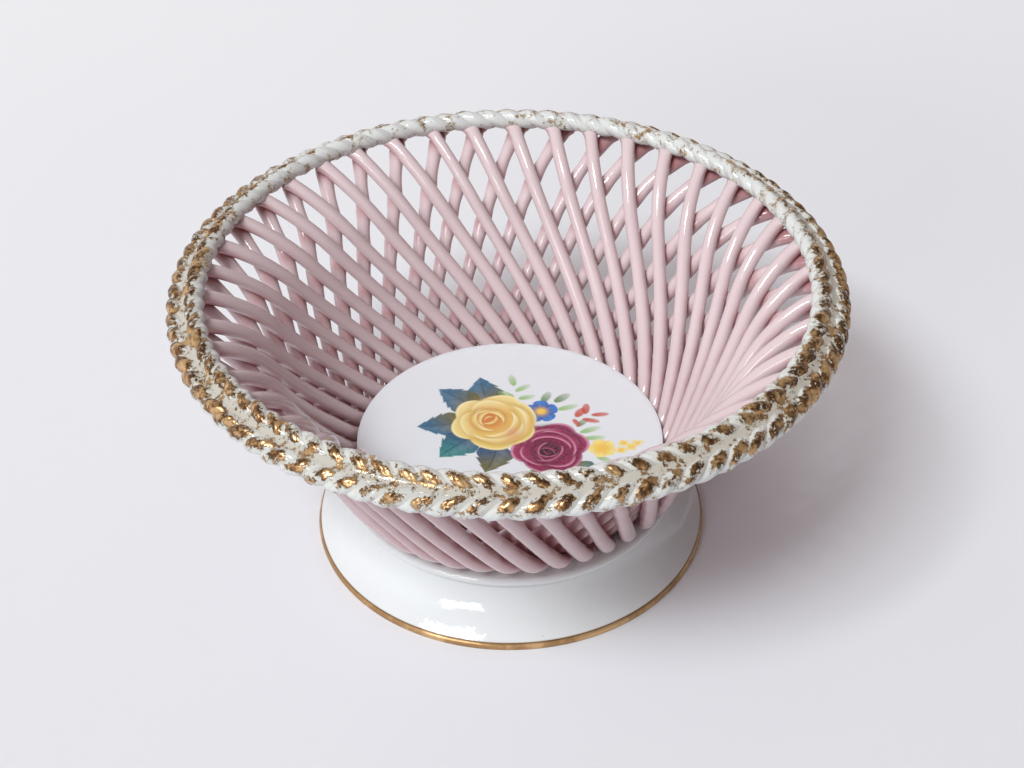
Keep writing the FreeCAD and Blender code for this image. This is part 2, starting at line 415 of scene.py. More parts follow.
def rod_layer(layer, other, line, facing, seed):
    """Points (rods, rows, cols, 3) of a layer's rods, and how deep the pink is at each: pooled glaze and
    painted shade.

    A rod's section is an ellipse across its centreline, wider near the rope it butts
    against and towards its foot. Its head sinks into the rope, most on the hidden side.
    Glaze pools where the rod faces a rod of the other layer, and webs the two together. The pink also
    deepens there, on the flanks near the foot and by the head as painted shade.
    """
    random = np.random.default_rng(seed)
    row = {key: values[None, :, None] for key, values in line.items()}
    rod = np.arange(RODS_PER_LAYER)[:, None, None]
    wander = random.normal(0, ROD_WANDER, (RODS_PER_LAYER, 3, 1, 1))
    share = row["share"]
    angle = sweep_angle(layer, share) + TURN * rod / RODS_PER_LAYER
    angle = angle + wander[:, 0] * (1 - share) + wander[:, 1] * np.sin(math.pi * share)
    lift = ROD_LIFT * wander[:, 2] / ROD_WANDER * np.sin(math.pi * np.clip(share, 0, 1))
    radius = row["radius"] + lift
    centre = about_axis(radius, row["height"], angle)[:, :, 0]
    along = np.gradient(centre, axis=1)
    along /= np.linalg.norm(along, axis=2, keepdims=True)
    normal = about_axis(np.cos(row["slope"]), -np.sin(row["slope"]), angle)[:, :, 0]
    normal -= (normal * along).sum(2, keepdims=True) * along
    normal /= np.linalg.norm(normal, axis=2, keepdims=True)
    side = np.cross(normal, along)
    uneven = 1 + random.normal(0, ROD_UNEVEN, (RODS_PER_LAYER, 1, 1))
    ripple_start = random.uniform(0, TURN, (RODS_PER_LAYER, 1, 1))
    uneven = uneven + ROD_RIPPLE * np.sin(row["way"] / ROD_RIPPLE_LENGTH + ripple_start)
    low_share = smooth(share, WIDENS_FROM_SHARE, 1)
    spread = HEAD_SPREAD * np.exp(-(row["way"] + HEAD_SINK) / HEAD_SPREAD_FADE)
    width = (layer["top_width"] + (layer["low_width"] - layer["top_width"]) * low_share) * uneven + spread
    thick = layer["thick"] * uneven * (1 - HEAD_THIN * spread / HEAD_SPREAD)
    turn = np.linspace(0, TURN, ROD_COLS, endpoint=False)[None, None, :, None]
    period = TURN / RODS_PER_LAYER
    away = angle - sweep_angle(other, share)
    away = (away + period / 2) % period - period / 2
    fall = along[:, :, 2:] / np.cos(np.minimum(row["slope"], STEEPEST_SLOPE))
    slant = np.sqrt(1 - fall ** 2)
    away = radius * away * np.cos(np.clip(slant, 0, 1))
    turned = 0.5 + 0.5 * facing * np.cos(turn[..., 0])
    web = layer["web"] * np.exp(-((away / WEB_REACH) ** 2)) * turned * (row["way"] > 0)
    web = web * (1 - smooth(share, *WEB_FADE_SHARES))
    reach = (thick * row["fade"] + WEB_THICK_SHARE * web)[..., None]
    ring = np.cos(turn) * reach * normal[:, :, None]
    ring = ring + np.sin(turn) * side[:, :, None] * (width * row["fade"] + web)[..., None]
    sunk = HEAD_SINK_LEAST + (1 - HEAD_SINK_LEAST) * turned[..., None]
    ring = ring + np.maximum(-row["way"], 0)[..., None] * (1 - sunk) * along[:, :, None]
    # Painted shade with pooled glaze: the pink deepens near a crossing, on the flanks near the foot, by the
    # head and on the outside
    crossing = np.exp(-((away / POOL_AND_SHADE_REACH) ** 2))
    head = np.exp(-np.maximum(row["way"], 0) / POOL_AND_SHADE_HEAD_FADE)
    flank = np.abs(np.sin(turn[..., 0]))
    pool = POOL_AND_SHADE_AT_CROSSING * crossing * turned ** 1.5 + POOL_AND_SHADE_AT_FOOT * low_share * flank ** 3
    pool = pool + POOL_AND_SHADE_AT_HEAD * head * np.maximum(turned, 0.7 * flank ** 4)
    pool = pool + layer["deep"] * (0.5 + 0.5 * np.cos(turn[..., 0]))
    return centre[:, :, None] + ring, pool


# Rope strands
def rope_place(name):
    """Ring radius, height and radius of a rope of two strands, from the boxes of its CAD strands."""
    boxes = [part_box(name + "_strand_" + letter) for letter in "ab"]
    low = min(box[0].z for box in boxes) / MM
    high = max(box[1].z for box in boxes) / MM
    reach = min(min(-box[0].x, box[1].x, -box[0].y, box[1].y) for box in boxes) / MM
    radius = (high - low) / 2
    return dict(ring=reach - radius, height=(high + low) / 2, radius=radius)


def rope_strand(rope, twist, start, tall, seed):
    """Points of a strand that twists about the rope's ring, and how much gold and wash is on it.

    The strand is half of the rope: its section goes from groove to groove over the crest at
    radius * (1 - GROOVE_DEPTH_SHARE * sin ** (2 * GROOVE_POWER) of the direction from the crest),
    so that the glaze rounds the grooves, less the grooves between its plies, where the cosine of
    PLIES times that direction is zero, and closes by the rope's axis. It turns about the axis
    by twist * ROPE_TURNS turns as it goes once round the bowl, and swells by the share tall above
    and below it. Gold is brushed over what faces up and out, but only on the crests in front.
    """
    random = np.random.default_rng(seed)
    rows = ROPE_TURNS * ROPE_ROWS_PER_TURN
    angle = np.linspace(0, TURN, rows, endpoint=False)[:, None]
    crest = start + twist * ROPE_TURNS * angle
    quarter = math.pi / 2
    turn = np.linspace(-quarter, quarter, ROPE_COLS)
    near_end = quarter - STRAND_CLOSE_TURN
    turn = np.sort(np.concatenate([turn, [-near_end, near_end]]))[None, :]
    sizes = random.uniform(1 - LOBE_UNEVEN, 1, ROPE_TURNS * 4)
    places = np.linspace(0, TURN, len(sizes) + 1)
    lobes = np.interp(angle[:, 0], places, np.append(sizes, sizes[0]))[:, None]
    groove = np.sin(turn) ** 2
    ply = np.abs(np.cos(PLIES * turn)) ** PLY_POWER
    depth = GROOVE_DEPTH_SHARE * groove ** GROOVE_POWER + PLY_DEPTH_SHARE * (1 - ply)
    reach = rope["radius"] * (1 - (1 - lobes) * (1 - groove) - depth)
    outwards = reach * np.cos(turn)
    aside = reach * np.sin(turn)
    inside = np.zeros((rows, 3)) + STRAND_HEART
    inside_aside = np.zeros((rows, 1)) + rope["radius"] * STRAND_HEART_SHARE * np.array([[1, 0, -1]])
    outwards = np.concatenate([outwards, inside], 1)
    aside = np.concatenate([aside, inside_aside], 1)
    across = outwards * np.cos(crest) - aside * np.sin(crest)
    up = outwards * np.sin(crest) + aside * np.cos(crest)
    facing = np.degrees(np.arctan2(up, across))
    points = about_axis(rope["ring"] + across, rope["height"] + up * (1 + tall), angle)
    front = smooth(-np.sin(angle), *GILT_FRONT)
    back = smooth(np.sin(angle), *GILT_BACK)
    off = np.abs((facing - GILT_MIDDLE + GILT_BACK_TURN * back + 180) % 360 - 180)
    fuller = (lobes - 1) / LOBE_UNEVEN + 0.5
    half_width = GILT_HALF_WIDTH + GILT_SIDE_GAIN * np.cos(angle) ** 2 - GILT_BACK_NARROWING * back
    half_width = half_width + GILT_UNEVEN * fuller
    crested = np.concatenate([np.cos(turn) + 0 * angle, 0 * inside], 1)
    crested = smooth(crested, np.interp(front, (0, 1), GILT_CREST_START), GILT_CREST_FULL)
    ridged = np.concatenate([GILT_BETWEEN_PLIES + GILT_PLY_GAIN * ply + 0 * angle, 1 + 0 * inside], 1)
    gilt = (GILT_COVER + GILT_COVER_UNEVEN * fuller) * crested * ridged
    gilt = gilt * (1 - smooth_about(off, half_width, GILT_FADE))
    wash = WASH_ON_ROPES * (1 - smooth_about(off, half_width, WASH_FADE))
    return points[None], gilt[None], wash[None]


def rope_gutter(inner, outer):
    """Points of the glaze that fills the gutter between the ropes.

    GUTTER_OUTLINE is laid across the line between the ropes' axes and turned about Z.
    """
    first = np.array([inner["ring"], inner["height"]])
    second = np.array([outer["ring"], outer["height"]])
    across = (second - first) / np.hypot(*(second - first))
    up = np.array([-across[1], across[0]])
    outline = np.array(GUTTER_OUTLINE)
    outline = (first + second) / 2 + outline[:, :1] * across + outline[:, 1:] * up
    return lathe(outline, GUTTER_COLS)


# Flower spray painted on the floor. Brush strokes are laid over the floor's white. Light falls
# on the roses from LIGHT_FROM degrees round from +X. Numbers inside a brush are shares of its own
# size, or how many millimetres its edge takes to fade.
FLOOR_WHITE = srgb(231, 234, 239)
WHITE = np.array(FLOOR_WHITE[:3])
LIGHT_FROM = 120


def step_from(place, turn, length):
    """Place that lies length away from another, turn degrees round from +X."""
    a = math.radians(turn)
    return place[0] + length * math.cos(a), place[1] + length * math.sin(a)


class Painting:
    """Colour at each point of the floor, and brushes that lay more colour over it."""

    def __init__(self, x, y):
        self.x = x
        self.y = y
        self.colour = np.zeros(x.shape + (3,)) + WHITE

    def lay(self, mask, colour):
        """Mixes a colour, one or one for each point, into what is there by a mask from 0 to 1."""
        self.colour += (colour - self.colour) * np.clip(mask, 0, 1)[..., None]

    def local(self, place, turn):
        """Coordinates along and across a brush that starts at place and points turn degrees from +X."""
        a = math.radians(turn)
        dx, dy = self.x - place[0], self.y - place[1]
        return dx * math.cos(a) + dy * math.sin(a), dy * math.cos(a) - dx * math.sin(a)

    def leaf(self, place, turn, length, width, tip, base, teeth, curl):
        """Pointed leaf: half width is width * sin(pi * u ** 0.75), cut by teeth, bent by curl.

        Its colour goes from base to tip, with a pale bloom along one side and dark veins.
        """
        along, across = self.local(place, turn)
        u = np.clip(along / length, 0, 1)
        across = across - curl * length * u * (1 - u)
        half = width * np.sin(math.pi * u ** 0.75)
        bite = (u * teeth + 0.3 * np.abs(across) / width) % 1
        half = half * (1 - 0.2 * smooth(u, 0.2, 0.55) * bite)
        v = across / np.maximum(half, 0.05)
        mask = smooth(half - np.abs(across), -0.12, 0.22) * (along > 0) * (along < length)
        share = smooth(u + 0.15 * v, 0.1, 0.8)[..., None]
        colour = base * (1 - share) + tip * share
        bloom = 0.14 * np.exp(-(((v - 0.4) / 0.3) ** 2)) * (1 - 0.6 * u)
        self.lay(mask * 0.97, colour + (WHITE * 0.8 - colour) * bloom[..., None])
        vein = np.exp(-(((((u * 5 - np.abs(v) * 0.9) % 1) - 0.5) / 0.08) ** 2))
        vein = vein * smooth(np.abs(v), 0.05, 0.2) * (1 - smooth(np.abs(v), 0.55, 0.9))
        rib = np.exp(-((across / 0.24) ** 2)) * (1 - smooth(u, 0.75, 0.98))
        self.lay(mask * np.maximum(0.3 * vein, 0.65 * rib), base * 0.3)

    def dab(self, place, turn, length, width, colour, cover, thin):
        """One stroke of a loaded brush: an ellipse whose colour thins towards its far end."""
        along, across = self.local(place, turn)
        u = np.clip(along / length, 0, 1)
        half = 2 * width * np.sqrt(u * (1 - u))
        mask = smooth(half - np.abs(across), -0.3, 0.45) * (along > 0) * (along < length)
        self.lay(mask * cover * (1 - thin * u ** 1.5), colour)

    def petal(self, place, turn, length, width, light, dark):
        """Rounded petal: an egg shape broader at its far end, light there and dark at its base."""
        along, across = self.local(place, turn)
        u = along / length
        half = width * np.sqrt(np.clip(u, 0, 1) ** 0.75 * np.clip(1 - np.clip(u, 0, 1) ** 5, 0, 1))
        mask = smooth(half - np.abs(across), -0.175, 0.35) * (u > 0) * (u < 1)
        v = across / np.maximum(half, 0.05)
        shade = np.clip(smooth(u + 0.1 * np.sin(v * 9), 0.1, 0.9) * (1 - 0.3 * v ** 2), 0, 1)[..., None]
        self.lay(mask, light * shade + dark * (1 - shade))

    def blot(self, place, radius, colour, cover):
        """Soft round wash of thin colour."""
        off = np.hypot(self.x - place[0], self.y - place[1]) / radius
        self.lay(np.exp(-(off ** 2) * 1.6) * cover, colour)

    def blossom(self, place, petals, radius, turn, light, dark, heart):
        """Small open flower: petals round a heart."""
        for k in range(petals):
            self.petal(place, turn + 360 * k / petals, radius, radius * 0.58, light, dark)
        self.blot(place, radius * 0.42, heart, 1.4)

    def cup(self, place, radius, turn, light, dark, lip, shadow):
        """Cupped petal of a rose: a wavy disc, light towards turn and dark at the other side.

        Its lit edge has a lip of light colour, and it casts a soft shadow outside itself.
        """
        along, across = self.local(place, turn)
        round_it = np.arctan2(across, along)
        off = np.hypot(along, across) / radius / (1 + 0.05 * np.sin(3 * round_it + turn))
        self.lay(shadow * np.exp(-(((off - 1) / 0.22) ** 2)) * (off > 0.9), dark * 0.75)
        mask = smooth(1.02 - off, 0, 0.5 / radius)
        toward = along / radius + 0.07 * np.sin(round_it * 9 + turn) * off
        shade = smooth(toward, -0.35, 0.95)[..., None]
        self.lay(mask, light * shade + dark * (1 - shade))
        edge = np.exp(-(((off - 0.93) / 0.06) ** 2)) * smooth(along / radius, 0.2, 0.9)
        self.lay(mask * edge * 0.75, lip)

    def fold(self, place, radius, turn, bite, light, dark, lip):
        """Petal folded back: what a disc leaves outside the same disc moved by bite against turn.

        Its inner edge is a light lip, and its colour goes from light there to dark at its outer edge.
        """
        along, across = self.local(place, turn)
        outer = np.hypot(along, across) / radius
        inner = np.hypot(along + bite * radius, across * 0.93) / radius
        mask = smooth(1.02 - outer, 0, 0.5 / radius) * smooth(inner - 0.98, 0, 0.4 / radius)
        cast = 0.5 * np.exp(-(((outer - 1) / 0.14) ** 2)) * smooth(inner, 1.0, 1.1)
        self.lay(cast * (outer > 0.95), dark * 0.7)
        shade = smooth((inner - 1) / bite + 0.1 * np.sin(6 * across / radius), 0.1, 1.0)[..., None]
        self.lay(mask, light * (1 - shade) + dark * shade)
        self.lay(mask * np.exp(-(((inner - 1.03) / 0.05) ** 2)) * 0.85, lip)

    def rose(self, place, radius, turn, light, mid, dark, lip):
        """Full rose: two rings of cupped petals, a deep heart of coiled ones, three folded at its front.

        The heart lies along turn from the middle, and the folded petals opposite to it.
        """
        for out, size, count, shadow in ((0.47, 0.53, 6, 0.0), (0.30, 0.5, 4, 0.3)):
            for k in range(count):
                way = turn + 180 + 360 * (k + 2 * shadow) / count + 12 * math.sin(3 * k)
                lit = 0.5 + 0.5 * math.cos(math.radians(way - LIGHT_FROM))
                spot = step_from(place, way, radius * out)
                shade = light * lit + mid * (1 - lit)
                self.cup(spot, radius * size, way, shade, mid * 0.75 + dark * 0.25, lip, shadow)
        heart = step_from(place, turn, 0.16 * radius)
        self.blot(heart, radius * 0.44, dark, 1.3)
        coiled = ((60, 0.42, 0.35), (-75, 0.36, 0.4), (20, 0.27, 0.4), (170, 0.2, 0.5), (-20, 0.12, 0.6))
        for way, size, bite in coiled:
            shade = light * 0.6 + mid * 0.4
            self.fold(heart, radius * size, turn + way, bite, shade, mid * 0.5 + dark * 0.5, lip)
        folded = ((205, 0.2, 0.66, 0.28), (150, 0.16, 0.6, 0.3), (185, 0.05, 0.52, 0.34))
        for way, out, size, bite in folded:
            spot = step_from(place, turn + way, radius * out)
            self.fold(spot, radius * size, turn + way, bite, light, mid * 0.6 + dark * 0.4, lip)


def paint_spray(x, y):
    """The floor's colours: a traditional spray of a yellow and a crimson rose among small flowers."""
    art = Painting(x, y)
    tint = {name: np.array(srgb(*rgb)[:3]) for name, rgb in {
        "cream": (252, 238, 190), "yellow": (241, 212, 112), "orange": (216, 126, 56),
        "rose": (212, 112, 104), "blush": (234, 168, 192), "crimson": (146, 30, 80), "wine": (176, 58, 104),
        "maroon": (70, 12, 36), "sky": (66, 128, 210), "blue": (24, 66, 150), "teal": (22, 128, 130),
        "leaf_blue": (18, 98, 136), "navy": (36, 76, 118), "olive": (104, 98, 48),
        "green": (146, 190, 104), "moss": (96, 136, 70), "rust": (200, 74, 50),
        "amber": (246, 200, 84), "straw": (248, 228, 140)}.items()}
    leaves = [
        ((-6, 14), 103, 17.5, 7.0, "leaf_blue", "olive", 6, 0.14),
        ((-11, 13), 138, 17.5, 6.4, "leaf_blue", "olive", 6, -0.18),
        ((-14, 8), 190, 17.0, 6.2, "leaf_blue", "olive", 6, 0.18),
        ((-11, 0), 222, 16.0, 6.8, "teal", "navy", 5, -0.18),
        ((-4, -4), 254, 15.0, 6.4, "olive", "navy", 5, 0.18),
        ((19, -15), 320, 14.0, 5.4, "teal", "olive", 6, 0.2),
        ((9, -17), 262, 13.0, 5.2, "leaf_blue", "moss", 6, -0.2),
    ]
    for place, turn, length, width, tip, base, teeth, curl in leaves:
        art.leaf(place, turn, length, width, tint[tip], tint[base], teeth, curl)
    strokes = [
        ((1.5, 20), 150, 6.2, 1.3, "green"), ((2.0, 23), 35, 6.4, 1.2, "green"),
        ((1.6, 26), 100, 6.4, 1.3, "green"), ((3.0, 19), 15, 6.0, 1.2, "green"),
        ((11, 17), 65, 6.2, 1.5, "moss"), ((15, 17), 40, 7.0, 1.6, "moss"),
        ((16, 13), 18, 7.5, 1.3, "green"), ((22, 4), 48, 6.0, 1.2, "moss"),
        ((23, 1), 22, 7.5, 1.3, "green"), ((24, -2), 4, 7.5, 1.2, "green"),
        ((28, -11), 330, 6.0, 1.2, "green"), ((22, 9), 60, 5.4, 1.5, "rust"),
        ((25, 10.5), 82, 5.6, 1.4, "rust"), ((27, 10), 5, 6.0, 1.1, "rust"),
        ((24, 8), 345, 6.0, 1.1, "rust"), ((21, 8), 300, 4.4, 1.0, "rust"),
    ]
    for place, turn, length, width, colour in strokes:
        art.dab(place, turn, length, width, tint[colour], 0.95, 0.25 if colour == "rust" else 0.75)
    art.blossom((10.5, 12.2), 5, 5.7, 20, tint["sky"], tint["blue"], tint["amber"])
    art.blossom((30, -7), 5, 4.6, 40, tint["straw"], tint["amber"], tint["amber"])
    for spot in [(37, -4.5), (39.5, -6.5), (41.5, -4.5), (36, -8)]:
        art.blossom(spot, 4, 1.8, 30, tint["straw"], tint["amber"], tint["amber"])
    art.rose((13.0, -6.5), 13.0, 250, tint["wine"], tint["crimson"], tint["maroon"], tint["blush"])
    art.rose((-5.0, 7.0), 14.5, 140, tint["yellow"] * 0.5 + tint["cream"] * 0.5, tint["yellow"],
             tint["orange"], tint["cream"])
    art.blot((0.5, 1.5), 3.6, tint["rose"], 0.45)
    return art.colour


# Node trees
def feed(tree, node, values):
    """Links or sets a node's inputs, which values gives by name or number."""
    for name, value in values.items():
        if isinstance(value, bpy.types.NodeSocket):
            tree.links.new(value, node.inputs[name])
        else:
            node.inputs[name].default_value = value


def add(tree, kind, into=None, **settings):
    """One node: settings are its own properties, and into gives its inputs by name or number."""
    made = tree.nodes.new(kind)
    for name, value in settings.items():
        setattr(made, name, value)
    feed(tree, made, into or {})
    return made


def work(tree, operation, *values):
    """Output of a Math node."""
    return add(tree, "ShaderNodeMath", dict(enumerate(values)), operation=operation).outputs[0]


def times(tree, first, second):
    """Output that is the product of two values."""
    return work(tree, "MULTIPLY", first, second)


def rise(tree, value, low, high, start=0.0, end=1.0):
    """Output that goes smoothly from start to end as value goes from low to high."""
    into = {"Value": value, "From Min": low, "From Max": high, "To Min": start, "To Max": end}
    return add(tree, "ShaderNodeMapRange", into, interpolation_type="SMOOTHSTEP").outputs[0]


def mixed(tree, share, first, second):
    """Colour output that goes from first to second by a share."""
    made = add(tree, "ShaderNodeMix", {0: share, 6: first, 7: second}, data_type="RGBA")
    return made.outputs[2]


def place_on(tree):
    """Object coordinates."""
    return add(tree, "ShaderNodeTexCoord").outputs["Object"]


def noise(tree, scale, detail=3.0, roughness=0.5):
    """Noise over the object's coordinates, about 0.5, with scale features to a metre."""
    into = {"Vector": place_on(tree), "Scale": scale, "Detail": detail, "Roughness": roughness}
    return add(tree, "ShaderNodeTexNoise", into).outputs["Fac"]


def mark(tree, name, output):
    """An attribute of the points."""
    return add(tree, "ShaderNodeAttribute", attribute_name=name).outputs[output]


def group_tree(name, inputs, outputs, kind="NodeSocketFloat"):
    """New shader group with number inputs {name: default} and outputs of one kind.

    Gives its tree, its inputs as seen from inside, and the node that takes its results.
    """
    tree = bpy.data.node_groups.new(name, "ShaderNodeTree")
    for label, default in inputs.items():
        socket = tree.interface.new_socket(label, in_out="INPUT", socket_type="NodeSocketFloat")
        socket.default_value = default
    for label in outputs:
        tree.interface.new_socket(label, in_out="OUTPUT", socket_type=kind)
    return tree, add(tree, "NodeGroupInput").outputs, add(tree, "NodeGroupOutput")


def use_group(tree, group, **values):
    """Outputs of a group placed in a material, with its inputs given by name."""
    return add(tree, "ShaderNodeGroup", values, node_tree=group).outputs


def make_uneven_glaze():
    """Group: the slow swell and fine ripple of hand-dipped glaze, as a normal."""
    inputs = {"Swell": 0.3, "Ripple": 0.1}
    tree, given, result = group_tree("uneven_glaze", inputs, ["Normal"], "NodeSocketVector")
    swell = times(tree, noise(tree, 90.0, 1.0), given["Swell"])
    ripple = times(tree, noise(tree, 420.0, 2.0), given["Ripple"])
    height = work(tree, "ADD", swell, ripple)
    bump = add(tree, "ShaderNodeBump", {"Height": height, "Distance": 1.2 * MM, "Strength": 1.0})
    feed(tree, result, {"Normal": bump.outputs["Normal"]})
    return tree


def make_specks():
    """Group: pinholes and specks of ash fired into a glaze, as a mask."""
    inputs = {"Scale": 250.0, "Size": 0.07}
    tree, given, result = group_tree("kiln_specks", inputs, ["Mask"])
    cells = add(tree, "ShaderNodeTexVoronoi", {"Vector": place_on(tree), "Scale": given["Scale"]})
    near = work(tree, "LESS_THAN", cells.outputs["Distance"], given["Size"])
    rare = work(tree, "GREATER_THAN", noise(tree, 60.0), 0.64)
    faint = times(tree, rare, 0.55)
    feed(tree, result, {"Mask": times(tree, near, faint)})
    return tree


def make_gilding():
    """Group: brushed liquid gold, as its frayed mask, thin brown wash, burnt flecks and tone."""
    inputs = {"Gilt": 0.0, "Fray": 0.5, "Grain": 900.0, "Flecks": 0.0}
    tree, given, result = group_tree("gilding", inputs, ["Gold", "Thin", "Flecks", "Tone"])
    fine = noise(tree, given["Grain"], 5.0, 0.72)
    coarse = noise(tree, times(tree, given["Grain"], 0.3), 2.0)
    fray = work(tree, "SUBTRACT", work(tree, "ADD", fine, coarse), 1.0)
    level = work(tree, "ADD", given["Gilt"], times(tree, fray, given["Fray"]))
    gold = rise(tree, level, 0.4, 0.6)
    thin = rise(tree, level, 0.08, 0.44)
    flecks = rise(tree, noise(tree, times(tree, given["Grain"], 1.7), 3.0, 0.6), 0.58, 0.64)
    flecks = times(tree, flecks, rise(tree, level, 0.05, 0.3))
    flecks = times(tree, flecks, given["Flecks"])
    grain = noise(tree, times(tree, given["Grain"], 0.8), 4.0, 0.7)
    tone = rise(tree, work(tree, "ADD", grain, coarse), 0.82, 1.26)
    feed(tree, result, {"Gold": gold, "Thin": thin, "Flecks": flecks, "Tone": tone})
    return tree


UNEVEN_GLAZE = make_uneven_glaze()
SPECKS = make_specks()
GILDING = make_gilding()

# Gilding on the foot's line and on the ropes: see gilded_glaze
FOOT_GILDING = dict(fray=0.02, grain=150.0, flecks=0.0, even=0.6, edge=0.1,
                    low_white=srgb(221, 221, 222), high_white=srgb(229, 229, 230))
# The ropes' whites are darker and greener than the foot's: partly the rope glaze's own tint, partly painted
# shade
ROPE_GILDING = dict(fray=2.3, grain=760.0, flecks=0.9, even=0.1, edge=0.8,
                    low_white=srgb(213, 214, 212), high_white=srgb(225, 225, 223))
GOLD_LIGHT = srgb(214, 174, 126)
GOLD_DARK = srgb(142, 101, 62)
GOLD_BURNT = srgb(74, 49, 28)
GOLD_WASH = srgb(178, 162, 138)
GOLD_METALLIC = 0.65

# Roughness, as a grey where it is mixed
GOLD_ROUGHNESS = (0.26, 0.26, 0.26, 1)
GLAZE_ROUGHNESS = (0.07, 0.07, 0.07, 1)
BARE_ROUGHNESS = (0.7, 0.7, 0.7, 1)
PINK_ROUGHNESS = 0.1
CLAY_ROUGHNESS = 0.85
TABLE_ROUGHNESS = 0.75
BARE_CLAY = srgb(205, 196, 184)


def new_material(name):
    """Empty material with its Principled shader, and the tree they are in."""
    material = bpy.data.materials.new(name)
    material.use_nodes = True
    tree = material.node_tree
    tree.nodes.clear()
    shader = add(tree, "ShaderNodeBsdfPrincipled", {"IOR": 1.5, "Specular IOR Level": 0.5})
    add(tree, "ShaderNodeOutputMaterial", {"Surface": shader.outputs[0]})
    return material, tree, shader


def specked(tree, colour, dark, **sizes):
    """Colour output with dark specks, of the scale and size that the kiln_specks group takes."""
    return mixed(tree, use_group(tree, SPECKS, **sizes)["Mask"], colour, dark)


def gilded_glaze(name, fray, grain, flecks, even, edge, low_white, high_white):
    """White glaze, between two whites, with gold where the gilt attribute says.

    The gold's tone is at least even, and falls to the share edge where the gilt thins out. The wash
    attribute says where thin brown wash lies too, and the bare one where the clay is unglazed.
    """
    material, tree, shader = new_material(name)
    gilt = mark(tree, "gilt", "Fac")
    gilding = use_group(tree, GILDING, Gilt=gilt, Fray=fray, Grain=grain, Flecks=flecks)
    bare = mark(tree, "bare", "Fac")
    white = mixed(tree, bare, mixed(tree, noise(tree, 35.0), low_white, high_white), BARE_CLAY)
    white = specked(tree, white, srgb(150, 138, 128))
    thin = times(tree, gilding["Thin"], 0.8)
    washed = mixed(tree, work(tree, "MAXIMUM", thin, mark(tree, "wash", "Fac")), white, GOLD_WASH)
    flecked = mixed(tree, gilding["Flecks"], washed, GOLD_BURNT)
    tone = rise(tree, gilding["Tone"], 0.0, 1.0, even, 1.0)
    tone = times(tree, tone, rise(tree, gilt, 0.5, 0.98, edge, 1.0))
    gold = mixed(tree, rise(tree, tone, 0.0, 0.4), GOLD_BURNT, GOLD_DARK)
    gold = mixed(tree, rise(tree, tone, 0.35, 1.0), gold, GOLD_LIGHT)
    rough = mixed(tree, bare, GLAZE_ROUGHNESS, BARE_ROUGHNESS)
    ripple = rise(tree, gilding["Gold"], 0.0, 1.0, 0.05, 0.05 + 0.2 * flecks)
    feed(tree, shader, {
        "Base Color": mixed(tree, gilding["Gold"], flecked, gold),
        "Metallic": times(tree, gilding["Gold"], GOLD_METALLIC),
        "Roughness": mixed(tree, gilding["Gold"], rough, GOLD_ROUGHNESS),
        "Normal": use_group(tree, UNEVEN_GLAZE, Swell=0.3, Ripple=ripple)["Normal"]})
    return material


def pink_glaze():
    """Pink glaze, thin and pale on the rods' outsides and deep where it pools between them, and where shade
    between them is painted in.
    """
    material, tree, shader = new_material("pink_glaze")
    pale = mixed(tree, noise(tree, 55.0, 2.0), srgb(218, 195, 198), srgb(223, 202, 204))
    pool = work(tree, "ADD", mark(tree, "pool", "Fac"), times(tree, noise(tree, 160.0), 0.16))
    # Pooled glaze and painted shade: the pink goes deeper by the pool attribute
    colour = mixed(tree, rise(tree, pool, 0.15, 1.05, 0.0, 0.85), pale, srgb(170, 98, 102))
    feed(tree, shader, {
        "Base Color": specked(tree, colour, srgb(150, 100, 100), Scale=180.0, Size=0.05),
        "Roughness": PINK_ROUGHNESS,
        "Normal": use_group(tree, UNEVEN_GLAZE, Swell=0.12, Ripple=0.05)["Normal"]})
    return material


def painted_glaze():
    """Clear glazed floor with its painted spray, in which the brush leaves thin and thick colour."""
    material, tree, shader = new_material("painted_floor_glaze")
    thin = rise(tree, noise(tree, 900.0, 4.0, 0.7), 0.3, 0.7, 0.0, 0.05)
    painted = mixed(tree, thin, mark(tree, "paint", "Color"), FLOOR_WHITE)
    feed(tree, shader, {
        "Base Color": specked(tree, painted, srgb(170, 160, 160), Scale=220.0, Size=0.05),
        "Roughness": rise(tree, noise(tree, 120.0), 0.3, 0.7, 0.14, 0.2),
        "Normal": use_group(tree, UNEVEN_GLAZE, Swell=0.2, Ripple=0.03)["Normal"]})
    return material


def bisque():
    """Unglazed fired clay of the core: matt, grainy, off white."""
    material, tree, shader = new_material("fired_clay")
    colour = mixed(tree, noise(tree, 1500.0, 4.0), srgb(214, 204, 190), srgb(232, 226, 216))
    grit = {"Height": noise(tree, 2500.0, 4.0), "Distance": 0.1 * MM, "Strength": 0.4}
    normal = add(tree, "ShaderNodeBump", grit).outputs["Normal"]
    feed(tree, shader, {"Base Color": colour, "Roughness": CLAY_ROUGHNESS, "Normal": normal})
    return material


# Pieces
floor_low, floor_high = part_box("floor_disc")
foot_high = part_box("pedestal_foot")[1]
FLOOR_TOP = floor_high.z / MM
FLOOR_RADIUS = floor_high.x / MM
FLOOR_UNDERSIDE = floor_low.z / MM
FOOT_TOP = foot_high.z / MM
FOOT_RADIUS = foot_high.x / MM
OUTER_ROPE = rope_place("outer_rope")
INNER_ROPE = rope_place("inner_rope")


